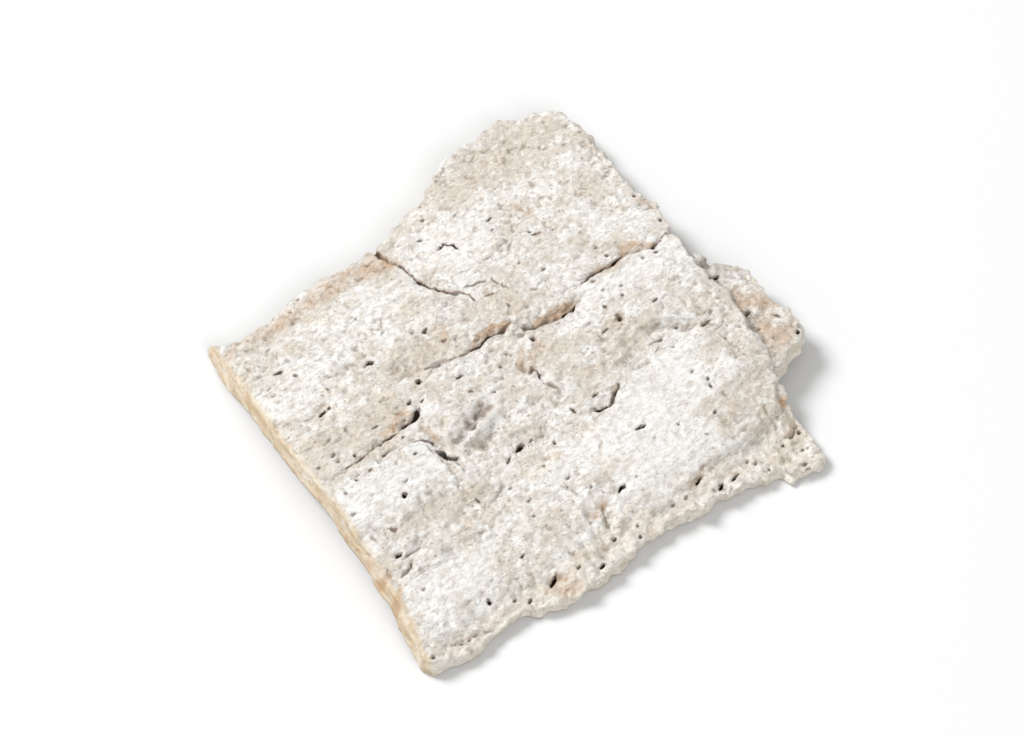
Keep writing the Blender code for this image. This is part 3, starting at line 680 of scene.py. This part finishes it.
def surface_net(field):
    """One vertex in each cell that the surface crosses, and one quad for each crossed edge."""
    shape = np.array(field.shape) - 1
    solid = field < 0
    count = np.zeros(shape, np.int8)
    for i, j, k in product((0, 1), repeat=3):
        count += solid[i:shape[0] + i, j:shape[1] + j, k:shape[2] + k]
    crossed = (count > 0) & (count < 8)
    number = np.full(shape, -1, np.int64)
    number[crossed] = np.arange(crossed.sum())
    cells = np.stack(np.nonzero(crossed), 1)
    total, hits = np.zeros((len(cells), 3)), np.zeros(len(cells))
    axes = np.eye(3, dtype=int)
    for axis, along in enumerate(axes):
        for a, b in product((0, 1), repeat=2):
            corner = np.insert((a, b), axis, 0)
            first = field[tuple((cells + corner).T)]
            second = field[tuple((cells + corner + along).T)]
            cuts = (first < 0) != (second < 0)
            share = np.where(cuts, first / np.where(cuts, first - second, 1.0), 0.0)
            total += cuts[:, None] * (corner + share[:, None] * along)
            hits += cuts
    points = cells + total / hits[:, None]
    quads = []
    for axis in range(3):
        u, v = axes[(axis + 1) % 3], axes[(axis + 2) % 3]
        near = [slice(1, n) for n in shape]
        near[axis] = slice(0, shape[axis])
        far = list(near)
        far[axis] = slice(1, shape[axis] + 1)
        here, beyond = solid[tuple(near)], solid[tuple(far)]
        for change, flip in ((here & ~beyond, False), (~here & beyond, True)):
            spots = np.stack(np.nonzero(change), 1) + 1
            spots[:, axis] -= 1
            ring = [spots - u - v, spots - v, spots, spots - u]
            quad = np.stack([number[tuple(cell.T)] for cell in ring], 1)
            quads.append(quad[:, ::-1] if flip else quad)
    return points, np.concatenate(quads)


def largest_body(points, quads):
    """Drops loose crumbs and sealed bubbles: keeps the body with the most vertices."""
    label = np.arange(len(points))
    while True:
        low = label[quads].min(1)
        new = label.copy()
        np.minimum.at(new, quads.ravel(), np.repeat(low, 4))
        new = new[new]
        if (new == label).all():
            break
        label = new
    keep = label == np.bincount(label).argmax()
    place = np.cumsum(keep) - 1
    return points[keep], place[quads[keep[quads[:, 0]]]]


def mesh_from(points, quads):
    mesh = bpy.data.meshes.new("weathered_bark")
    mesh.vertices.add(len(points))
    mesh.vertices.foreach_set("co", points.astype(np.float32).ravel())
    mesh.loops.add(quads.size)
    mesh.loops.foreach_set("vertex_index", quads.astype(np.int32).ravel())
    mesh.polygons.add(len(quads))
    mesh.polygons.foreach_set("loop_start", np.arange(0, quads.size, 4, dtype=np.int32))
    mesh.update(calc_edges=True)
    mesh.validate()
    mesh.shade_smooth()
    return mesh


def store(mesh, name, values):
    """Keeps one number for each vertex, for the material to read."""
    mesh.attributes.new(name, "FLOAT", "POINT").data.foreach_set("value", values.astype(np.float32))


def edge_places(points, corners, centres):
    """Places on the map for the corners of the edge's faces: along the outline, in strips."""
    run = sum(math.dist(a, b) for a, b in zip(OUTLINE, OUTLINE[1:] + OUTLINE[:1]))
    x, y, z = points[corners].reshape(-1, 3).T
    here = run * path_distance(x, y, OUTLINE, closed=True)[2].reshape(corners.shape)
    middle = run * path_distance(centres[:, 0], centres[:, 1], OUTLINE, closed=True)[2][:, None]
    here = middle + (here - middle + run / 2) % run - run / 2
    strip = np.minimum(np.floor(middle * STRIPS / run), STRIPS - 1)
    across = here - strip * run / STRIPS + 2 * MAP_GAP
    low = OUTER_SPAN + 2 * MAP_GAP + strip * STRIP_HEIGHT
    return np.stack([across, low + z.reshape(corners.shape)], -1)


def add_flat_map(mesh, points, quads, edge_depth):
    """Lays the bark's faces out on its flat map."""
    corner = points[quads]
    centres = corner.mean(1)
    normal = np.cross(corner[:, 2] - corner[:, 0], corner[:, 3] - corner[:, 1])
    up = normal[:, 2] / np.maximum(np.linalg.norm(normal, axis=1), 1e-9)
    places = corner[:, :, :2] - points[:, :2].min(0) + MAP_GAP
    inner = up < 0
    turned_over = (OUTER_SPAN * (1.0 + INNER_SCALE) + MAP_GAP, 0.0)
    places[inner] = places[inner] * (-INNER_SCALE, INNER_SCALE) + turned_over
    wall = (np.abs(up) < WALL_SLOPE) & (edge_depth[quads].mean(1) < WALL_DEPTH)
    places[wall] = edge_places(points, quads[wall], centres[wall])
    layer = mesh.uv_layers.new(name="OFBake")
    layer.uv.foreach_set("vector", (places / MAP_SIDE).astype(np.float32).ravel())


def add_object(name, data):
    thing = bpy.data.objects.new(name, data)
    bpy.context.scene.collection.objects.link(thing)
    return thing


def make_bark():
    """The bark, in its node's place, with the numbers that its material reads."""
    m = Maps()
    field, maps = bark_field(m)
    fill_pinches(field)
    cells, quads = largest_body(*surface_net(field))
    points = cells * STEP + (m.x0, m.y0, HEIGHT_RANGE[0])
    low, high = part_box("bark")
    middle = (points[:, :2].min(0) + points[:, :2].max(0)) / 2
    offset = np.array([(low[0] + high[0]) / 2, (low[1] + high[1]) / 2, low[2]])
    placed = (points - (*middle, points[:, 2].min())) * MM + offset
    mesh = mesh_from(placed, quads)
    read = {name: m.at(values, points) for name, values in maps.items()}
    base, bottom = read.pop("base"), read.pop("bottom")
    read["edge_depth"] = read.pop("edge") - end_lean(points[:, 0], points[:, 2])
    read["sunk"] = base - points[:, 2]
    read["level"] = (points[:, 2] - bottom) / np.maximum(base - bottom, 0.5)
    from_end = path_distance(points[:, 0], points[:, 1], SNAPPED_END)[0]
    read["snapped"] = 1.0 - ease((from_end - SNAPPED_WIDTH) / SNAPPED_FADE)
    for name, values in read.items():
        store(mesh, name, values)
    add_flat_map(mesh, points, quads, read["edge_depth"])
    return add_object("weathered_bark", mesh)


# ---- materials
def shade(red, green, blue):
    """A colour given as screen values from 0 to 255, as Blender's linear values."""
    channels = [c / 255 for c in (red, green, blue)]
    return [c / 12.92 if c <= 0.04045 else ((c + 0.055) / 1.055) ** 2.4 for c in channels] + [1.0]


class Nodes:
    """Short calls for building a material's nodes. A number stands for a constant input."""

    def __init__(self, name):
        self.material = bpy.data.materials.new(name)
        self.material.use_nodes = True
        self.tree = self.material.node_tree
        self.shader = self.tree.nodes["Principled BSDF"]
        self.place = self.scaled(self.node("TexCoord", {}, "Object"), (1000.0, 1000.0, 1000.0))

    def set(self, socket, value):
        if isinstance(value, bpy.types.NodeSocket):
            self.tree.links.new(value, socket)
        else:
            socket.default_value = value

    def give(self, name, value):
        self.set(self.shader.inputs[name], value)

    def node(self, kind, inputs, output=0, **settings):
        """Adds a node with these settings and inputs, and gives one of its outputs."""
        node = self.tree.nodes.new("ShaderNode" + kind)
        for name, value in settings.items():
            setattr(node, name, value)
        for socket, value in inputs.items():
            self.set(node.inputs[socket], value)
        return node.outputs[output]

    def scaled(self, vector, factors):
        return self.node("VectorMath", {0: vector, 1: factors}, operation="MULTIPLY")

    def attribute(self, name):
        return self.node("Attribute", {}, "Fac", attribute_name=name)

    def noise(self, size, detail=3.0, roughness=0.55, stretch=(1.0, 1.0, 1.0), offset=0.0):
        """Noise whose largest features are about this many millimetres."""
        inputs = {"Vector": self.scaled(self.place, tuple(1.0 / s for s in stretch)), "W": offset,
                  "Scale": 1.0 / size, "Detail": detail, "Roughness": roughness}
        return self.node("TexNoise", inputs, "Fac", noise_dimensions="4D")

    def between(self, value, low, high, to_low=0.0, to_high=1.0):
        """Maps low..high smoothly to to_low..to_high, and holds the ends."""
        inputs = dict(enumerate((value, low, high, to_low, to_high)))
        return self.node("MapRange", inputs, interpolation_type="SMOOTHSTEP")

    def math(self, operation, a, b):
        return self.node("Math", {0: a, 1: b}, operation=operation)

    def times(self, a, b):
        return self.math("MULTIPLY", a, b)

    def mix(self, factor, a, b):
        return self.node("Mix", {"Factor": factor, "A": a, "B": b}, "Result", data_type="RGBA")

    def coats(self, colour, *coats):
        """Lays coats over a colour, one after another: how much of each, and its colour."""
        for amount, coat in coats:
            colour = self.mix(amount, colour, coat)
        return colour


def crust_colour(n):
    """The pale outer crust: white and dull patches, mottling, grime and painted shade in the
    hollows, painted light on the rim, tan stains.
    """
    grain = (1.3, 1.0, 1.0)
    tone, stain = n.attribute("tone"), n.attribute("stain")
    patches = n.math("ADD", n.noise(4.0, 6.0, 0.7, grain), n.times(tone, 0.17))
    dusty = n.between(tone, 0.1, 1.1, 1.0, 0.4)
    warm = n.between(n.noise(3.0, 6.0, 0.75, grain, 11.0), 0.50, 0.64, 0.0, 0.5)
    mottle = n.between(n.noise(1.1, 6.0, 0.75, grain, 3.0), 0.50, 0.66, 0.0, 0.65)
    weave = n.noise(0.7, 5.0, 0.75, (2.0, 1.0, 1.0), 5.0)
    # painted shade: the broad hollows are greyed; the fine hollows are darkened, as grime and
    # painted shade
    grey = n.between(n.attribute("broad_hollow"), 0.15, 0.85, 0.0, 0.45)
    hollow_grime_and_shade = n.between(n.attribute("fine_hollow"), 0.04, 0.34, 0.0, 0.7)
    broken_up = n.between(weave, 0.36, 0.64, 1.0, 0.35)
    uneven = n.between(n.noise(1.6, 5.0, 0.7, grain, 13.0), 0.30, 0.60, 0.35, 1.3)
    tan = n.mix(n.between(weave, 0.36, 0.60), shade(184, 146, 112), shade(216, 188, 158))
    streaks = n.between(n.noise(0.6, 5.0, 0.7, (4.0, 1.0, 1.0), 15.0), 0.54, 0.66, 0.0, 0.45)
    specks = n.between(n.noise(0.45, 4.0, 0.7, grain, 17.0), 0.56, 0.68, 0.0, 0.85)
    chalk = n.between(n.noise(0.7, 4.0, 0.7, (1.8, 1.0, 1.0), 18.0), 0.54, 0.66, 0.0, 0.7)
    unstained = n.between(stain, 0.0, 0.8, 1.0, 0.45)
    return n.coats(
        n.mix(n.between(patches, 0.40, 0.59), shade(226, 217, 205), shade(254, 253, 250)),
        (n.times(warm, dusty), shade(238, 222, 201)),
        (n.times(mottle, dusty), shade(200, 190, 176)),
        # painted light: the rim, which slopes away from the key light, is lightened
        (n.times(n.attribute("rim"), 0.24), shade(242, 228, 200)),
        (n.between(weave, 0.38, 0.58, 0.6, 0.0), shade(200, 190, 178)),
        (grey, shade(182, 175, 166)),
        (n.times(hollow_grime_and_shade, broken_up), shade(158, 141, 124)),
        (n.between(n.times(stain, uneven), 0.08, 1.0, 0.0, 0.85), tan),
        (streaks, shade(180, 168, 154)),
        (n.times(specks, dusty), shade(132, 116, 100)),
        (n.times(chalk, unstained), shade(254, 253, 250)))


def crumb_colour(n):
    """The broken edge where it has crumbled and weathered: cream, beige and grey grains."""
    pale = n.between(n.noise(1.2, 6.0, 0.75, (1.4, 1.4, 0.7), 53.0), 0.38, 0.62)
    grains = n.between(n.noise(0.6, 4.0, 0.7, offset=57.0), 0.54, 0.68, 0.0, 0.6)
    cream = n.mix(pale, shade(224, 213, 195), shade(246, 242, 233))
    return n.mix(grains, cream, shade(158, 138, 117))


def snapped_colour(n):
    """The snapped end: clean honey tan, in thin layers."""
    layers = n.noise(2.0, 6.0, 0.7, (3.0, 3.0, 0.35), 19.0)
    pale = n.between(n.noise(2.2, 5.0, 0.65, offset=23.0), 0.44, 0.62, 0.0, 0.8)
    stained = n.between(n.attribute("stain"), 0.4, 1.1, 0.0, 0.6)
    return n.coats(
        n.mix(n.between(layers, 0.36, 0.64), shade(208, 180, 143), shade(238, 221, 194)),
        (pale, shade(244, 236, 220)), (stained, shade(196, 158, 120)))


def inner_colour(n):
    """The inner side: tan fibres along the grain."""
    fibres = n.between(n.noise(1.6, 6.0, 0.7, (8.0, 1.0, 1.0), 29.0), 0.35, 0.65)
    grey = n.between(n.noise(8.0, 5.0, 0.65, (2.0, 1.0, 1.0), 31.0), 0.46, 0.62, 0.0, 0.6)
    dark = n.between(n.noise(0.7, 4.0, 0.7, (3.0, 1.0, 1.0), 33.0), 0.58, 0.70, 0.0, 0.6)
    return n.coats(n.mix(fibres, shade(160, 124, 88), shade(206, 174, 136)),
                   (grey, shade(198, 186, 168)), (dark, shade(104, 76, 54)))


def bark_material():
    n = Nodes("weathered_bark")
    level, hole_brown_and_shade, snapped = n.attribute("level"), n.attribute("hole_brown_and_shade"), n.attribute("snapped")
    ragged = n.noise(1.4, 5.0, 0.65, offset=37.0)
    ragged_edge = n.math("ADD", n.attribute("edge_depth"), n.times(ragged, 3.0))
    near_edge = n.between(ragged_edge, 1.7, 2.3, 1.0, 0.0)
    under_crust = n.between(n.math("ADD", level, n.times(ragged, 0.3)), 0.86, 1.04, 1.0, 0.0)
    chipped = n.times(snapped, n.between(ragged_edge, 1.5, 3.0, 1.0, 0.0))
    broken = n.math("MAXIMUM", n.times(near_edge, under_crust), chipped)
    inner = n.between(level, 0.05, 0.16, 1.0, 0.0)
    on_top = n.math("SUBTRACT", 1.0, n.math("MAXIMUM", broken, inner))
    # pits, pores and slots painted brown: partly the bark's own brown, partly painted shade
    brown = n.between(n.math("ADD", hole_brown_and_shade, n.times(ragged, 0.3)), 0.25, 0.75, 0.0, 0.7)
    # painted shade: deep slots and pits, and points lying far below the outer surface, are painted
    # near black
    lower = n.between(n.attribute("sunk"), 0.1, 1.2, 0.0, 0.5)
    dark = n.between(n.math("ADD", hole_brown_and_shade, lower), 0.80, 1.2)
    colour = n.coats(
        crust_colour(n),
        (broken, n.mix(snapped, crumb_colour(n), snapped_colour(n))),
        (inner, inner_colour(n)),
        (n.times(on_top, brown), shade(138, 112, 88)),
        (n.times(on_top, dark), shade(50, 37, 28)))
    n.give("Base Color", colour)
    n.give("Roughness", n.between(n.noise(1.5, 4.0, 0.6), 0.3, 0.7, 0.82, 0.97))
    n.give("Specular IOR Level", 0.3)
    coarse = {"Height": n.noise(0.5, 6.0, 0.75, (1.2, 1.0, 1.0), 41.0), "Distance": GRAIN_HEIGHT}
    fine = {"Height": n.noise(0.16, 2.0, 0.5, offset=43.0), "Distance": FINE_HEIGHT}
    fine["Normal"] = n.node("Bump", coarse, "Normal")
    n.give("Normal", n.node("Bump", fine, "Normal"))
    return n.material


def floor_material():
    """A plain pale floor that turns into the white surroundings away from the bark."""
    n = Nodes("pale_floor")
    distance = n.node("VectorMath", {0: n.place}, "Value", operation="LENGTH")
    far = n.between(distance, *FLOOR_FADE)
    n.give("Base Color", n.mix(far, FLOOR_GREY, BLACK))
    n.give("Emission Color", WHITE)
    n.give("Emission Strength", far)
    n.give("Roughness", 0.85)
    n.give("Specular IOR Level", 0.1)
    return n.material


# ---- floor, light and camera
def direction(azimuth, elevation):
    """The unit vector at this azimuth round +Z from -Y, and this elevation."""
    a, e = math.radians(azimuth), math.radians(elevation)
    return Vector((math.sin(a) * math.cos(e), -math.cos(a) * math.cos(e), math.sin(e)))


def aim(thing, place, target):
    thing.location = place
    thing.rotation_euler = (target - place).to_track_quat("-Z", "Y").to_euler()


def add_floor():
    bpy.ops.mesh.primitive_plane_add(size=FLOOR_SIZE, location=(0.0, 0.0, 0.0))
    floor = bpy.context.object
    floor.name = "floor"
    floor.data.materials.append(floor_material())


def add_lights(target):
    for name, azimuth, elevation, distance, size, watts in LIGHTS:
        lamp = bpy.data.lights.new(name, "AREA")
        lamp.shape = "DISK"
        lamp.size = size
        lamp.energy = watts
        place = target + distance * direction(CAMERA_AZIMUTH + azimuth, elevation)
        aim(add_object(name, lamp), place, target)


def add_world():
    """White surroundings, which give less light than the camera sees in them."""
    world = bpy.data.worlds.new("pale_studio")
    world.use_nodes = True
    nodes = world.node_tree.nodes
    background = nodes["Background"]
    background.inputs["Color"].default_value = WHITE
    paths = nodes.new("ShaderNodeLightPath")
    strength = nodes.new("ShaderNodeMapRange")
    strength.inputs["To Min"].default_value = SKY_LIGHT
    world.node_tree.links.new(paths.outputs["Is Camera Ray"], strength.inputs["Value"])
    world.node_tree.links.new(strength.outputs["Result"], background.inputs["Strength"])
    bpy.context.scene.world = world


def add_camera(target):
    lens = bpy.data.cameras.new("camera")
    lens.lens = CAMERA_LENS
    camera = add_object("camera", lens)
    aim(camera, target + CAMERA_DISTANCE * direction(CAMERA_AZIMUTH, CAMERA_ELEVATION), target)
    bpy.context.scene.camera = camera


# ---- the scene
bpy.context.scene.view_settings.view_transform = "Standard"
low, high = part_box("bark")
centre = (low + high) / 2
add_camera(centre)
add_lights(centre)
add_world()
add_floor()

bark = make_bark()
bark.data.materials.append(bark_material())
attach(bark, "root")
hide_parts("bark")
